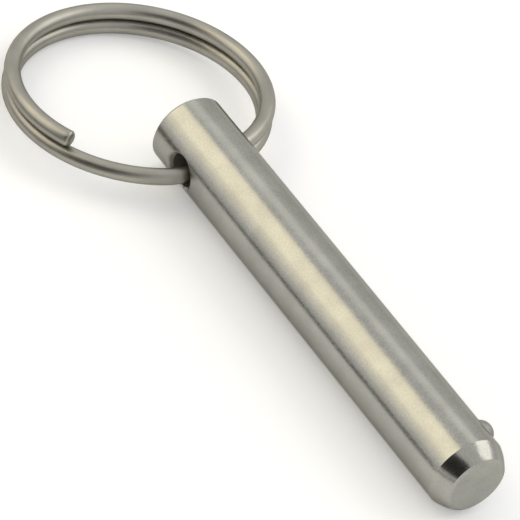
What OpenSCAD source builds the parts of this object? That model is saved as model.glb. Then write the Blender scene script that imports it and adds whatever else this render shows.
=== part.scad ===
// Ball lock pin: a turned stainless shank with a spring-loaded detent ball near its nose
// and a two-turn split ring threaded through a cross hole near its head end.
// The pin lies as it comes to rest: shank and ring both touch the plane z = -shank_d / 2.
// +X runs along the shank towards the nose, +Z is up. The origin is on the shank's axis,
// half way between the ring hole and the ball.

/* [Shank] */
// Diameter of the shank
shank_d = 6.35; // [5:0.05:12]
// Length of the shank, face to face
shank_l = 41.3; // [30:0.1:80]
// Length of the lead-in chamfer at the nose, along the axis
nose_l = 1.5; // [0.5:0.1:2.4]
// Depth of the lead-in chamfer at the nose, across the radius
nose_depth = 0.75; // [0.2:0.05:1.5]
// How far the lead-in chamfer swells beyond a straight cone
nose_swell = 0.08; // [0.02:0.01:0.12]
// Broken edge round the head end face
head_edge = 0.25; // [0.05:0.01:0.4]
// Broken edge where the lead-in chamfer meets the nose face
nose_edge = 0.15; // [0.02:0.01:0.2]

/* [Ring hole] */
// Distance from the head end face to the hole's axis
hole_from_head = 4.1; // [3.2:0.1:8]
// Diameter of the cross hole
hole_d = 2.7; // [2.5:0.05:3.2]
// Diameter of the countersink where it breaks the crown of the shank
countersink_d = 3.5; // [3.3:0.05:4.2]
// Included angle of the countersink
countersink_angle = 90; // [80:5:120]
// How far the hole's axis is rolled from level when the pin is at rest
hole_roll = 5; // [0:0.5:8]

/* [Detent ball] */
// Diameter of the ball
ball_d = 2.1; // [1.6:0.05:2.4]
// Height of the ball above the shank's surface
ball_proud = 0.45; // [0.3:0.05:0.6]
// Distance from the nose face to the ball's centre
ball_from_nose = 3.4; // [3.2:0.1:8]
// Angle round the shank from the hole's axis to the ball
ball_angle = 28; // [0:1:90]
// Running gap between the ball and its pocket
ball_gap = 0.05; // [0.02:0.01:0.08]
// Depth of the ball's blind bore, from the crown of the shank
bore_depth = 5; // [4.2:0.1:5.4]

/* [Detent spring] */
// Diameter of the spring's wire
spring_wire = 0.24; // [0.15:0.01:0.3]
// Gap between the spring's outside and the bore
spring_side_gap = 0.08; // [0.05:0.01:0.2]
// Gap between the spring's ends and what they press on
spring_end_gap = 0.02; // [0.01:0.01:0.05]
// Turns of the spring that work
spring_turns = 5; // [3:1:8]
// Closed turns at each end of the spring
spring_dead_turns = 1; // [0.75:0.25:1.5]

/* [Split ring] */
// Diameter of the ring's wire
wire_d = 1.35; // [1:0.05:1.6]
// Inside diameter of the ring
ring_inside_d = 19.05; // [16:0.05:30]
// Gap between the ring's two turns
turn_gap = 0.05; // [0.02:0.01:0.2]
// Angle from the middle of the hole to where a turn runs flat
crossover_angle = 20; // [18:0.5:26]
// Angle from the hole round to the free end of the upper turn
upper_end_angle = 65; // [40:1:100]
// Angle from the hole round to the free end of the lower turn
lower_end_angle = 27; // [22:0.5:60]
// Radius on the edges of the wire's cut ends
wire_end_edge = 0.3; // [0.05:0.05:0.4]
// How far the wire sits past the hole's axis, towards the nose
ring_seat = 0.3; // [0.25:0.05:0.45]
// How far the ring has slid sideways through the hole
ring_shift = -0.72; // [-0.8:0.02:0]

/* [Hidden] */

$fn = 96;
overcut = 1;

shank_r = shank_d / 2;
hole_to_ball = shank_l - hole_from_head - ball_from_nose;
hole_x = -hole_to_ball / 2;
ball_x = hole_to_ball / 2;
head_x = hole_x - hole_from_head;
nose_x = ball_x + ball_from_nose;

ball_r = ball_d / 2;
ball_centre = shank_r + ball_proud - ball_r;
pocket_r = ball_r + ball_gap;
bore_floor = shank_r - bore_depth;

spring_wire_r = spring_wire / 2;
spring_r = pocket_r - spring_side_gap - spring_wire_r;
spring_reach = ball_r + spring_wire_r + spring_end_gap;
spring_low = bore_floor + spring_wire_r + spring_end_gap;
spring_high = ball_centre - sqrt(pow(spring_reach, 2) - pow(spring_r, 2));
spring_all_turns = spring_turns + 2 * spring_dead_turns;
spring_dead_rise = spring_wire + spring_end_gap;
spring_free_rise = spring_high - spring_low - 2 * spring_dead_turns * spring_dead_rise;
spring_steps = 16;
spring_sides = 8;

wire_r = wire_d / 2;
ring_r = (ring_inside_d + wire_d) / 2;
turn_z = (wire_d + turn_gap) / 2;
nest = 0.01;
nest_angle = 2;
bend_most = 80;
bend_rounds = 40;
seat_to_far = 2 * ring_r - ring_seat;

// Tilt at which the far side of the ring meets the plane that the shank lies on:
// seat_to_far * sin(tilt) + turn_z * cos(tilt) = shank_r - wire_r.
ring_tilt = asin((shank_r - wire_r) / norm([seat_to_far, turn_z])) - atan2(turn_z, seat_to_far);

// The crossover is two equal bends. Each leaves its flat turn without a kink, in a plane
// rolled about the wire, and they meet square to the radius in the middle of the hole.
// They are thinner than the wire by nest, so that each end lies inside what it joins.
function bend_roll(a) = acos(tan(crossover_angle) / tan(a));
function bend_radius(a) = turn_z / ((1 - cos(a)) * sin(bend_roll(a)));
function bend_run(a) =
    bend_radius(a) * (sin(a) * cos(crossover_angle)
    + (1 - cos(a)) * cos(bend_roll(a)) * sin(crossover_angle));
function find_bend(low, high, rounds) =
    let (middle = (low + high) / 2)
    rounds == 0 ? middle :
    bend_run(middle) > ring_r * sin(crossover_angle)
        ? find_bend(middle, high, rounds - 1)
        : find_bend(low, middle, rounds - 1);

bend_angle = find_bend(crossover_angle + 0.5, bend_most, bend_rounds);
bend_r = bend_radius(bend_angle);
crossover_x = ring_r * cos(crossover_angle)
    + bend_r * sin(bend_angle) * sin(crossover_angle)
    - bend_r * (1 - cos(bend_angle)) * cos(bend_roll(bend_angle)) * cos(crossover_angle);
lower_sweep = 360 - crossover_angle - lower_end_angle;
upper_sweep = 360 - crossover_angle - upper_end_angle;

// ---------- frames that the pieces share

// Z along the ring hole, origin at the middle of the hole.
module at_hole() {
    translate([hole_x, 0, 0]) rotate([hole_roll - 90, 0, 0]) children();
}

// Z along the ball's travel, pointing out of the shank, origin on the shank's axis.
module at_ball() {
    translate([ball_x, 0, 0]) rotate([hole_roll + ball_angle - 90, 0, 0]) children();
}

// X from the ring's centre to the hole, Z square to the ring, origin at its centre.
module at_ring() {
    translate([hole_x, 0, 0])
        rotate([0, -ring_tilt, 0])
            translate([ring_seat - ring_r, ring_shift, 0]) children();
}

// ---------- shank

// The lead-in is an arc of nose_round, so that it meets the nose face more steeply than it
// leaves the shank. The edge between lead-in and face is broken square to their bisector.
module turned_blank() {
    nose_start = shank_l - nose_l;
    half_chord = norm([nose_l, nose_depth]) / 2;
    chord_slope = atan2(nose_depth, nose_l);
    nose_round = (pow(half_chord, 2) + pow(nose_swell, 2)) / (2 * nose_swell);
    centre_in = nose_round - nose_swell;
    end_slope = chord_slope + asin(half_chord / nose_round);
    edge_rise = (nose_depth + nose_edge) * tan((90 - end_slope) / 2);
    translate([head_x, 0, 0]) rotate([0, 90, 0]) rotate_extrude() {
        polygon([
            [0, 0],
            [shank_r - head_edge, 0],
            [shank_r, head_edge],
            [shank_r, nose_start],
            [0, nose_start]
        ]);
        intersection() {
            translate([
                shank_r - nose_depth / 2 - centre_in * cos(chord_slope),
                shank_l - nose_l / 2 - centre_in * sin(chord_slope)
            ])
                circle(r = nose_round);
            polygon([
                [0, nose_start - nest],
                [shank_r, nose_start - nest],
                [shank_r, shank_l - edge_rise],
                [shank_r - nose_depth - nose_edge, shank_l],
                [0, shank_l]
            ]);
        }
    }
}

module ring_hole() {
    countersink_r = countersink_d / 2;
    cone_l = countersink_r / tan(countersink_angle / 2);
    flare_r = countersink_r * (1 + overcut / cone_l);
    at_hole() {
        cylinder(h = shank_d + 2 * overcut, r = hole_d / 2, center = true);
        for (side = [0, 180]) rotate([side, 0, 0])
            translate([0, 0, shank_r - cone_l])
                cylinder(h = cone_l + overcut, r1 = 0, r2 = flare_r);
    }
}

// Blind bore up to the ball's centre, then a pocket whose lip closes over the ball.
module ball_bore() {
    at_ball() {
        translate([0, 0, bore_floor]) cylinder(h = ball_centre - bore_floor, r = pocket_r);
        translate([0, 0, ball_centre]) sphere(r = pocket_r);
    }
}

module shank() {
    color("lightgray") difference() {
        turned_blank();
        ring_hole();
        ball_bore();
    }
}

// ---------- detent

module detent_ball() {
    color("gainsboro") at_ball() translate([0, 0, ball_centre]) sphere(r = ball_r);
}

// Height of the spring's wire above its lowest turn, after a number of turns.
function spring_rise(turn) =
    min(turn, spring_dead_turns) * spring_dead_rise
    + max(0, min(turn - spring_dead_turns, spring_turns)) * spring_free_rise / spring_turns
    + max(0, turn - spring_dead_turns - spring_turns) * spring_dead_rise;

module detent_spring() {
    rings = spring_all_turns * spring_steps;
    points = [
        for (i = [0:rings], k = [0:spring_sides - 1])
            let (
                turn = i / spring_steps,
                around = 360 * k / spring_sides,
                reach = spring_r + spring_wire_r * cos(around)
            )
            [
                reach * cos(360 * turn),
                reach * sin(360 * turn),
                spring_low + spring_rise(turn) + spring_wire_r * sin(around)
            ]
    ];
    walls = [
        for (i = [0:rings - 1], k = [0:spring_sides - 1])
            let (
                next = (k + 1) % spring_sides,
                a = i * spring_sides,
                b = a + spring_sides
            )
            each [[a + k, b + k, b + next], [a + k, b + next, a + next]]
    ];
    first_end = [for (k = [0:spring_sides - 1]) k];
    last_end = [for (k = [spring_sides - 1:-1:0]) rings * spring_sides + k];
    color("silver") at_ball()
        polyhedron(points, concat(walls, [first_end, last_end]), convexity = 10);
}

// ---------- split ring

module wire_bend(radius, angle, thickness) {
    rotate_extrude(angle = angle) translate([radius, 0]) circle(r = thickness);
}

// Cut end of the wire, with its edge rounded over, standing on z = 0.
module wire_end() {
    rotate_extrude() {
        square([wire_r - wire_end_edge, wire_end_edge]);
        translate([wire_r - wire_end_edge, 0]) intersection() {
            circle(r = wire_end_edge);
            square(wire_end_edge);
        }
    }
}

// From the middle of the hole out through one bend, then once round to a free end.
module ring_half(sweep) {
    translate([0, 0, -turn_z]) rotate([0, 0, -crossover_angle]) {
        translate([ring_r, 0, 0]) rotate([0, bend_roll(bend_angle), 0])
            translate([-bend_r, 0, 0]) rotate([0, 0, -nest_angle])
                wire_bend(bend_r, bend_angle + nest_angle, wire_r - nest);
        rotate([0, 0, -sweep]) {
            wire_bend(ring_r, sweep, wire_r);
            translate([ring_r, 0, 0]) rotate([90, 0, 0]) wire_end();
        }
    }
}

module split_ring() {
    color("darkgray") at_ring() {
        ring_half(lower_sweep);
        rotate([180, 0, 0]) ring_half(upper_sweep);
        translate([crossover_x, 0, 0]) sphere(r = wire_r);
    }
}

shank();
detent_ball();
detent_spring();
split_ring();
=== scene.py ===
"""Looks of a ball lock pin: satin turned shank, bright nose chamfer, detent ball and a split ring.

Metres, in the frame of the CAD part: +X along the shank towards the nose, +Z up, origin on the
shank's axis. The part's own sizes, first below, are those of the solids in millimetres and degrees.
"""

import math

import bmesh
import bpy
from mathutils import Matrix, Vector


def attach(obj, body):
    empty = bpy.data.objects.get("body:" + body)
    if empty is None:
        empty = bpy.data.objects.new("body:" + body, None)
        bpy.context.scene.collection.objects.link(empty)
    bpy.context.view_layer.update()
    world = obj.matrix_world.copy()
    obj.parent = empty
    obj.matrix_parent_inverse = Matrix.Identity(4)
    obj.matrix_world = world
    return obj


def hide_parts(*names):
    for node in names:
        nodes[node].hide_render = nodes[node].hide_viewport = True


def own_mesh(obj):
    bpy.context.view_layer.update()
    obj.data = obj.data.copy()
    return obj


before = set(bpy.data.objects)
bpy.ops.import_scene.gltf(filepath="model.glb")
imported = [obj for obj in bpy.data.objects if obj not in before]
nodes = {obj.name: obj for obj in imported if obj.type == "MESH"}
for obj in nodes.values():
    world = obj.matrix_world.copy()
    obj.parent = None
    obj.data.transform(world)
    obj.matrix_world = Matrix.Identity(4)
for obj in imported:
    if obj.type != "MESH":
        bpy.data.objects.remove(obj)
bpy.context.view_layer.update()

MM = 0.001

# The shank.
SHANK_R = 3.175
NOSE_X = 20.3
CHAMFER_X = 18.8
HOLE_X = -16.9

# The ball and its spring. Heights are along the ball's travel, from the shank's axis.
BALL_X = 16.9
BALL_ANGLE = 33.0
SPRING_WIRE_R = 0.12
SPRING_R = 0.9
SPRING_LOW = -1.685
SPRING_HIGH = 1.7965
SPRING_TURNS = 5
SPRING_DEAD_TURNS = 1
SPRING_DEAD_RISE = 0.26

# The split ring.
WIRE_R = 0.675
RING_R = 10.2
TURN_Z = 0.7
CROSSOVER_ANGLE = 20.0
UPPER_END_ANGLE = 65.0
LOWER_END_ANGLE = 27.0
WIRE_END_EDGE = 0.3
WIRE_END_ROUND = 0.5
RING_SEAT = 0.3
RING_SHIFT = -0.72

# How finely the wires are swept.
RING_SIDES = 40
RING_STEP_ANGLE = 1.5
BEND_STEPS = 24
WIRE_END_STEPS = 6
SPRING_SIDES = 16
SPRING_TURN_STEPS = 40

# The bisection that finds the ring's bend: its limits, in degrees, and its rounds.
BEND_LEAST = CROSSOVER_ANGLE + 0.5
BEND_MOST = 80.0
BEND_ROUNDS = 60


# ---------------------------------------------------------------- material helpers

# Nearly all of a noise's values lie between these.
NOISE_LOW = 0.3
NOISE_HIGH = 0.7

# Height of the steel's fine relief.
RELIEF = 0.01 * MM


class Graph:
    """Short calls for building one material's nodes. A value is a socket or a constant."""

    def __init__(self, tree):
        self.tree = tree
        tree.nodes.clear()

    def node(self, kind, **settings):
        made = self.tree.nodes.new(kind)
        for name, value in settings.items():
            setattr(made, name, value)
        return made

    def link(self, value, socket):
        if isinstance(value, bpy.types.NodeSocket):
            self.tree.links.new(value, socket)
        else:
            socket.default_value = value

    def math(self, operation, a, b=0.0):
        made = self.node("ShaderNodeMath", operation=operation)
        self.link(a, made.inputs[0])
        self.link(b, made.inputs[1])
        return made.outputs[0]

    def stretched(self, vector, factors):
        """The vector with each of its parts times a factor of its own."""
        made = self.node("ShaderNodeVectorMath", operation="MULTIPLY")
        self.link(vector, made.inputs[0])
        self.link(factors, made.inputs[1])
        return made.outputs["Vector"]

    def length(self, vector):
        made = self.node("ShaderNodeVectorMath", operation="LENGTH")
        self.link(vector, made.inputs[0])
        return made.outputs["Value"]

    def x_part(self, vector):
        made = self.node("ShaderNodeSeparateXYZ")
        self.link(vector, made.inputs[0])
        return made.outputs["X"]

    def noise(self, coordinate, scale=1.0, detail=2.0, rough=0.5):
        made = self.node("ShaderNodeTexNoise")
        self.link(coordinate, made.inputs["Vector"])
        made.inputs["Scale"].default_value = scale
        made.inputs["Detail"].default_value = detail
        made.inputs["Roughness"].default_value = rough
        return made.outputs["Fac"]

    def ramp(self, a, low, high, to_low=0.0, to_high=1.0, smooth=True):
        kind = "SMOOTHSTEP" if smooth else "LINEAR"
        made = self.node("ShaderNodeMapRange", interpolation_type=kind)
        for value, socket in zip((a, low, high, to_low, to_high), made.inputs):
            self.link(value, socket)
        return made.outputs[0]

    def spread(self, noise, low, high):
        """A noise's values, brought evenly to the range from low to high."""
        return self.ramp(noise, NOISE_LOW, NOISE_HIGH, low, high, smooth=False)

    def mix(self, factor, a, b, kind="RGBA"):
        made = self.node("ShaderNodeMix", data_type=kind)
        self.link(factor, made.inputs["Factor"])
        self.link(a, made.inputs["A"])
        self.link(b, made.inputs["B"])
        return made.outputs["Result"]

    def bump(self, height, strength, normal=None):
        made = self.node("ShaderNodeBump")
        made.inputs["Strength"].default_value = strength
        made.inputs["Distance"].default_value = RELIEF
        self.link(height, made.inputs["Height"])
        if normal is not None:
            self.link(normal, made.inputs["Normal"])
        return made.outputs[0]

    def diffuse(self, tone):
        made = self.node("ShaderNodeBsdfDiffuse")
        made.inputs["Color"].default_value = rgb(tone, tone, tone)
        return made.outputs[0]


def rgb(r, g, b):
    return (r, g, b, 1.0)


def new_material(name):
    """An empty material, its graph and the socket that its surface goes to."""
    made = bpy.data.materials.new(name)
    made.use_nodes = True
    graph = Graph(made.node_tree)
    return made, graph, graph.node("ShaderNodeOutputMaterial").inputs["Surface"]


def new_steel(name):
    made, graph, surface = new_material(name)
    shader = graph.node("ShaderNodeBsdfPrincipled")
    graph.link(shader.outputs[0], surface)
    shader.inputs["Metallic"].default_value = 1.0
    return made, graph, shader


def part_millimetres(graph):
    """The object's own coordinates in millimetres."""
    coordinate = graph.node("ShaderNodeTexCoord").outputs["Object"]
    return graph.stretched(coordinate, (1 / MM, 1 / MM, 1 / MM))


def draw_lines(graph, round_wire, along_wire):
    """Fine lengthwise lines on a swept wire. The factors set how often they change each way."""
    place = graph.node("ShaderNodeAttribute", attribute_name="wire").outputs["Vector"]
    stretched = graph.stretched(place, (round_wire, round_wire, along_wire))
    return graph.noise(stretched, detail=3.0, rough=0.6)


# ---------------------------------------------------------------- materials


def shank_steel():
    """Turned stainless: faint lines round the axis, a bright chamfer, and painted shade that
    darkens and dulls the bores.
    """
    chamfer_blur = 0.01
    face_edge = 0.002
    bore_from, bore_full = 0.03, 0.30
    bore_end_blur = 0.1
    bore_shade_dulling = 0.8
    worn_radius = 0.06

    made, g, shader = new_steel("shank_steel")
    where = part_millimetres(g)
    x = g.x_part(where)
    radius = g.length(g.stretched(where, (0.0, 1.0, 1.0)))

    lines = g.noise(g.stretched(where, (7.0, 0.6, 0.6)), detail=3.0, rough=0.6)
    speck = g.noise(where, scale=6.0, rough=0.55)
    cloud = g.noise(where, scale=0.5)

    chamfer = g.math(
        "MULTIPLY",
        g.ramp(x, CHAMFER_X - chamfer_blur, CHAMFER_X + chamfer_blur),
        g.ramp(x, NOSE_X - face_edge, NOSE_X - chamfer_blur),
    )
    # Painted shade: a mask over the walls of the ring hole and the ball bore, short of the nose.
    painted_bore_shade = g.math(
        "MULTIPLY",
        g.ramp(radius, SHANK_R - bore_from, SHANK_R - bore_full),
        g.ramp(g.math("ABSOLUTE", x), CHAMFER_X + bore_end_blur, CHAMFER_X),
    )

    tone = g.math("ADD", g.spread(cloud, -0.5, 0.5), g.spread(speck, -0.5, 0.5))
    outside = g.mix(
        g.ramp(tone, -1.0, 1.0, smooth=False),
        rgb(0.318, 0.314, 0.287),
        rgb(0.418, 0.413, 0.372),
    )
    # Painted shade: the bores take a dark brown base colour and lose most of their metal.
    g.link(g.mix(painted_bore_shade, outside, rgb(0.16, 0.145, 0.12)), shader.inputs["Base Color"])
    bore_shade_metal_cut = g.math("MULTIPLY", painted_bore_shade, bore_shade_dulling)
    g.link(g.math("SUBTRACT", 1.0, bore_shade_metal_cut), shader.inputs["Metallic"])
    shader.inputs["Specular Tint"].default_value = rgb(0.55, 0.55, 0.53)

    side_rough = g.math("ADD", g.spread(lines, 0.19, 0.23), g.spread(speck, -0.04, 0.04))
    rough = g.mix(chamfer, side_rough, g.spread(lines, 0.18, 0.24), kind="FLOAT")
    g.link(rough, shader.inputs["Roughness"])

    worn = g.node("ShaderNodeBevel", samples=8)
    worn.inputs["Radius"].default_value = worn_radius * MM
    relief = g.math("ADD", g.math("MULTIPLY", lines, 0.5), g.math("MULTIPLY", speck, 0.9))
    g.link(g.bump(relief, 0.4, worn.outputs[0]), shader.inputs["Normal"])
    return made


def ring_wire():
    """Drawn stainless wire: fine lengthwise draw lines and a slightly brown tone."""
    made, g, shader = new_steel("ring_wire")
    where = part_millimetres(g)
    lines = draw_lines(g, 6.0, 0.25)
    speck = g.noise(where, scale=6.0)
    cloud = g.noise(where, scale=0.4)

    clean = g.mix(
        g.ramp(cloud, NOISE_LOW, NOISE_HIGH),
        rgb(0.352, 0.339, 0.302),
        rgb(0.404, 0.387, 0.338),
    )
    drawn = g.ramp(lines, 0.25, 0.75, 0.0, 0.3, smooth=False)
    g.link(g.mix(drawn, clean, rgb(0.26, 0.25, 0.23)), shader.inputs["Base Color"])
    shader.inputs["Specular Tint"].default_value = rgb(0.55, 0.54, 0.52)

    rough = g.math("ADD", g.spread(lines, 0.35, 0.41), g.spread(speck, -0.02, 0.02))
    g.link(rough, shader.inputs["Roughness"])
    relief = g.math("ADD", lines, g.math("MULTIPLY", speck, 0.8))
    g.link(g.bump(relief, 0.22), shader.inputs["Normal"])
    return made


def ball_steel():
    """Satin steel ball with faint smears of oil."""
    made, g, shader = new_steel("ball_steel")
    smear = g.noise(part_millimetres(g), scale=2.0, detail=3.0, rough=0.6)
    base = g.mix(
        g.ramp(smear, NOISE_LOW, NOISE_HIGH),
        rgb(0.31, 0.306, 0.293),
        rgb(0.35, 0.345, 0.33),
    )
    g.link(base, shader.inputs["Base Color"])
    shader.inputs["Specular Tint"].default_value = rgb(0.45, 0.45, 0.44)
    g.link(g.spread(smear, 0.56, 0.62), shader.inputs["Roughness"])
    return made


def spring_steel():
    """Drawn spring wire, which the ball and its bore hide."""
    made, g, shader = new_steel("spring_steel")
    lines = draw_lines(g, 5.0, 0.6)
    base = g.mix(
        g.ramp(lines, NOISE_LOW, NOISE_HIGH),
        rgb(0.28, 0.28, 0.27),
        rgb(0.36, 0.36, 0.35),
    )
    g.link(base, shader.inputs["Base Color"])
    g.link(g.spread(lines, 0.25, 0.38), shader.inputs["Roughness"])
    return made


# ---------------------------------------------------------------- swept wires


def linked_object(name, data):
    made = bpy.data.objects.new(name, data)
    bpy.context.scene.collection.objects.link(made)
    return made


def sweep(name, path, radii, sides):
    """A closed tube along path, in millimetres, with no twist, and a flat cap on each end.

    The vertex attribute "wire" holds the cosine and sine of the angle round the wire and the run
    along it.
    """
    count = len(path)
    tangents = []
    for i in range(count):
        before, after = path[max(i - 1, 0)], path[min(i + 1, count - 1)]
        tangents.append((after - before).normalized())
    side = tangents[0].orthogonal().normalized()
    mesh = bmesh.new()
    layer = mesh.verts.layers.float_vector.new("wire")
    rings = []
    run = 0.0
    for i in range(count):
        if i:
            run += (path[i] - path[i - 1]).length
            side = tangents[i - 1].rotation_difference(tangents[i]) @ side
        side = (side - tangents[i] * side.dot(tangents[i])).normalized()
        other = tangents[i].cross(side)
        ring = []
        for k in range(sides):
            a = 2 * math.pi * k / sides
            outward = side * math.cos(a) + other * math.sin(a)
            vertex = mesh.verts.new((path[i] + outward * radii[i]) * MM)
            vertex[layer] = Vector((math.cos(a), math.sin(a), run))
            ring.append(vertex)
        rings.append(ring)
    for low, high in zip(rings, rings[1:]):
        for k in range(sides):
            face = mesh.faces.new((low[k], low[(k + 1) % sides], high[(k + 1) % sides], high[k]))
            face.smooth = True
    for ring, face_order in ((rings[0], -1), (rings[-1], 1)):
        hub = mesh.verts.new(sum((v.co for v in ring), Vector()) / sides)
        hub[layer] = Vector((0.0, 0.0, ring[0][layer].z))
        for k in range(sides):
            pair = (ring[k], ring[(k + 1) % sides])
            mesh.faces.new((pair[::face_order] + (hub,))).smooth = False
    data = bpy.data.meshes.new(name)
    mesh.normal_update()
    mesh.to_mesh(data)
    mesh.free()
    return linked_object(name, data)


def rounded_end():
    """(distance beyond the full wire, radius) pairs over the rounded edge of a cut end."""
    pairs = []
    for i in range(WIRE_END_STEPS + 1):
        a = math.pi / 2 * i / WIRE_END_STEPS
        pairs.append((WIRE_END_EDGE * math.sin(a), WIRE_R - WIRE_END_ROUND * (1 - math.cos(a))))
    return pairs


def turn_about(axis, degrees):
    return Matrix.Rotation(math.radians(degrees), 4, axis)


def bend_sizes():
    """The bend's roll, radius and angle, found as the solids' are."""
    crossover = math.radians(CROSSOVER_ANGLE)

    def roll(a):
        return math.acos(math.tan(crossover) / math.tan(a))

    def radius(a):
        return TURN_Z / ((1 - math.cos(a)) * math.sin(roll(a)))

    def reach(a):
        inward = (1 - math.cos(a)) * math.cos(roll(a))
        return radius(a) * (math.sin(a) * math.cos(crossover) + inward * math.sin(crossover))

    low, high = math.radians(BEND_LEAST), math.radians(BEND_MOST)
    for _ in range(BEND_ROUNDS):
        middle = (low + high) / 2
        if reach(middle) > RING_R * math.sin(crossover):
            low = middle
        else:
            high = middle
    return roll(low), radius(low), low


def half_path(end_angle):
    """Centre line and radii from a free end to the middle of the hole, in the ring's frame."""
    roll, radius, angle = bend_sizes()
    place = Matrix.Translation((0, 0, -TURN_Z)) @ turn_about("Z", -CROSSOVER_ANGLE)
    turn_angle = 360 - CROSSOVER_ANGLE - end_angle
    points, radii = [], []
    end_turn = place @ turn_about("Z", -turn_angle)
    for distance, r in reversed(rounded_end()):
        points.append(end_turn @ Vector((RING_R, -distance, 0)))
        radii.append(r)
    steps = round(turn_angle / RING_STEP_ANGLE)
    for i in range(1, steps + 1):
        u = math.radians(-turn_angle * (1 - i / steps))
        points.append(place @ Vector((RING_R * math.cos(u), RING_R * math.sin(u), 0)))
        radii.append(WIRE_R)
    bend = place @ Matrix.Translation((RING_R, 0, 0)) @ Matrix.Rotation(roll, 4, "Y")
    for i in range(1, BEND_STEPS + 1):
        t = angle * i / BEND_STEPS
        points.append(bend @ Vector((radius * math.cos(t) - radius, radius * math.sin(t), 0)))
        radii.append(WIRE_R)
    return points, radii


def ring_tilt():
    """The tilt at which the ring's far side meets the plane that the shank lies on."""
    far = 2 * RING_R - RING_SEAT
    return math.asin((SHANK_R - WIRE_R) / math.hypot(far, TURN_Z)) - math.atan2(TURN_Z, far)


def split_ring():
    """Two halves as one wire. The upper one is turned half round about the ring's X axis."""
    lower, lower_radii = half_path(LOWER_END_ANGLE)
    upper, upper_radii = half_path(UPPER_END_ANGLE)
    over = Matrix.Rotation(math.pi, 4, "X")
    path = lower + [over @ p for p in reversed(upper[:-1])]
    radii = lower_radii + upper_radii[-2::-1]
    place = (
        Matrix.Translation((HOLE_X, 0, 0))
        @ Matrix.Rotation(-ring_tilt(), 4, "Y")
        @ Matrix.Translation((RING_SEAT - RING_R, RING_SHIFT, 0))
    )
    return sweep("split_ring_wire", [place @ p for p in path], radii, RING_SIDES)


def detent_spring():
    """A coil along the ball's travel, with closed turns at both ends."""
    turns = SPRING_TURNS + 2 * SPRING_DEAD_TURNS
    free_rise = SPRING_HIGH - SPRING_LOW - 2 * SPRING_DEAD_TURNS * SPRING_DEAD_RISE
    place = Matrix.Translation((BALL_X, 0, 0)) @ turn_about("X", BALL_ANGLE - 90)
    path = []
    for i in range(turns * SPRING_TURN_STEPS + 1):
        turn = i / SPRING_TURN_STEPS
        rise = (
            min(turn, SPRING_DEAD_TURNS) * SPRING_DEAD_RISE
            + max(0, min(turn - SPRING_DEAD_TURNS, SPRING_TURNS)) * free_rise / SPRING_TURNS
            + max(0, turn - SPRING_DEAD_TURNS - SPRING_TURNS) * SPRING_DEAD_RISE
        )
        a = 2 * math.pi * turn
        point = Vector((SPRING_R * math.cos(a), SPRING_R * math.sin(a), SPRING_LOW + rise))
        path.append(place @ point)
    return sweep("detent_spring_wire", path, [SPRING_WIRE_R] * len(path), SPRING_SIDES)


# ---------------------------------------------------------------- the part

for node_name, material in (("shank", shank_steel()), ("detent_ball", ball_steel())):
    nodes[node_name].data.materials.clear()
    nodes[node_name].data.materials.append(material)

ring = split_ring()
ring.data.materials.append(ring_wire())
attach(ring, "ring")
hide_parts("split_ring")

spring = detent_spring()
spring.data.materials.append(spring_steel())
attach(spring, "shank")
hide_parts("detent_spring")
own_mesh(spring)


# ---------------------------------------------------------------- floor, light and cards

# The studio. Lengths are in metres.
FLOOR_SIZE = 6.0
FLOOR_GAP = 0.00001
FLOOR_TONE = 0.80
FLOOR_GLOW = 0.20
WORLD_TONE = 0.84

# Watts that give one square metre of an area lamp a radiance of 1.
LAMP_WATTS = 4

# Each lamp's name, direction from the origin, distance, width, height, radiance and colour.
# The three keys share their upper edge, and each one reaches further down than the one before
# it, so that their light fades downwards.
LAMPS = (
    ("key", (-0.554, -0.430, 0.713), 0.80, 0.70, 0.41, 0.42, (1.0, 0.90, 0.61)),
    ("key_middle", (-0.554, -0.510, 0.658), 0.82, 0.75, 0.62, 0.26, (1.0, 0.85, 0.49)),
    ("key_wide", (-0.554, -0.585, 0.592), 0.84, 0.80, 0.84, 0.32, (1.0, 0.91, 0.68)),
    ("back", (-0.554, 0.391, 0.735), 0.80, 0.60, 0.20, 0.36, (1.0, 1.0, 0.92)),
    ("side", (0.12, 0.72, 0.67), 0.80, 0.60, 0.54, 1.15, (1.0, 0.99, 0.94)),
)

# Each card's name, middle, the way it faces, width, height and tone. They stand for the darker
# surroundings that the photograph's steel reflects.
CARDS = (
    ("camera_side_card", (0.1557, -0.3339, 0.2583), (-0.346, 0.742, -0.574), 0.56, 0.42, 0.03),
    ("low_card", (-0.035, -0.0185, -0.0012), (0.0, 1.0, 0.0), 0.09, 0.0039, 0.27),
    ("low_card_right", (0.030, -0.060, -0.0012), (-0.3, 0.95, 0.0), 0.10, 0.0040, 0.03),
)


def rectangle(name, across, up, z=0.0):
    data = bpy.data.meshes.new(name)
    a, b = across / 2, up / 2
    data.from_pydata([(-a, -b, z), (a, -b, z), (a, b, z), (-a, b, z)], [], [(0, 1, 2, 3)])
    return linked_object(name, data)


def facing(way):
    return Vector(way).to_track_quat("Z", "Y").to_euler()


def floor():
    """A pale floor that looks nearly white and keeps the object's shadow."""
    made = rectangle("floor", FLOOR_SIZE, FLOOR_SIZE, -SHANK_R * MM - FLOOR_GAP)
    material, g, surface = new_material("pale_floor")
    path = g.node("ShaderNodeLightPath")
    seen = path.outputs["Is Camera Ray"]
    for ray in ("Is Glossy Ray", "Is Transmission Ray"):
        seen = g.math("MAXIMUM", seen, path.outputs[ray])
    glow = g.node("ShaderNodeEmission")
    g.link(g.math("MULTIPLY", seen, FLOOR_GLOW), glow.inputs["Strength"])
    add = g.node("ShaderNodeAddShader")
    g.link(g.diffuse(FLOOR_TONE), add.inputs[0])
    g.link(glow.outputs[0], add.inputs[1])
    g.link(add.outputs[0], surface)
    made.data.materials.append(material)


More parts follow.
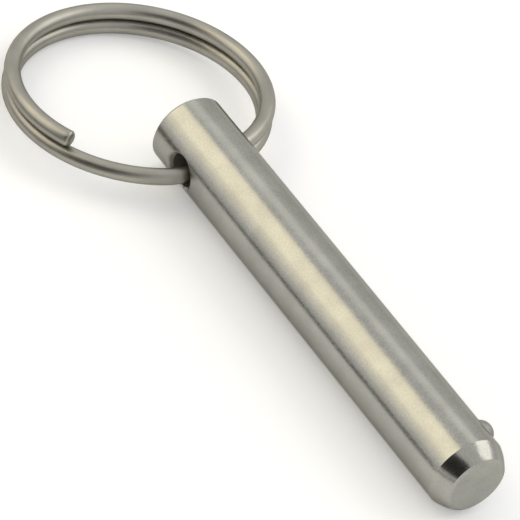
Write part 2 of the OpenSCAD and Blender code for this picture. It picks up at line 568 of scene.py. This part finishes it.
def softbox(name, direction, distance, across, up, radiance, colour):
    """An area lamp of the given radiance that faces the origin, with its width level."""
    light = bpy.data.lights.new(name, "AREA")
    light.shape = "RECTANGLE"
    light.size = across
    light.size_y = up
    light.energy = LAMP_WATTS * across * up * radiance
    light.color = colour
    made = linked_object(name, light)
    way = Vector(direction).normalized()
    made.location = way * distance
    made.rotation_euler = facing(way)


def card(name, place, way, across, up, tone):
    """A matt card that shows in reflections only."""
    made = rectangle(name, across, up)
    material, g, surface = new_material(name)
    g.link(g.diffuse(tone), surface)
    made.data.materials.append(material)
    made.location = place
    made.rotation_euler = facing(way)
    made.visible_camera = False
    made.visible_diffuse = False
    made.visible_shadow = False


def surroundings():
    """The same pale tone all round."""
    world = bpy.data.worlds.new("studio")
    bpy.context.scene.world = world
    world.use_nodes = True
    g = Graph(world.node_tree)
    background = g.node("ShaderNodeBackground")
    background.inputs["Color"].default_value = rgb(WORLD_TONE, WORLD_TONE, WORLD_TONE)
    background.inputs["Strength"].default_value = 1.0
    g.link(background.outputs[0], g.node("ShaderNodeOutputWorld").inputs["Surface"])


floor()
for lamp in LAMPS:
    softbox(*lamp)
for reflected in CARDS:
    card(*reflected)
surroundings()


# ---------------------------------------------------------------- camera and view

# Found from the photograph's outlines: where the camera stands, its right and down directions,
# and its focal length in pixels.
CAMERA_AT = (0.1620529, -0.1615553, 0.1961712)
CAMERA_RIGHT = Vector((0.52184207, 0.82388313, 0.22112765))
CAMERA_DOWN = Vector((0.64892922, -0.21515285, -0.72979457))
FOCAL_PIXELS = 3994.09
IMAGE_WIDTH = 520
SENSOR = 36.0
NEAREST = 0.01

camera_data = bpy.data.cameras.new("camera")
camera_data.sensor_fit = "HORIZONTAL"
camera_data.sensor_width = SENSOR
camera_data.lens = FOCAL_PIXELS / IMAGE_WIDTH * SENSOR
camera_data.clip_start = NEAREST
camera = linked_object("camera", camera_data)
camera_back = CAMERA_RIGHT.cross(-CAMERA_DOWN)
camera_turn = Matrix((CAMERA_RIGHT, -CAMERA_DOWN, camera_back)).transposed().to_4x4()
camera.matrix_world = Matrix.Translation(CAMERA_AT) @ camera_turn
bpy.context.scene.camera = camera

bpy.context.scene.view_settings.view_transform = "Standard"

bpy.context.view_layer.update()
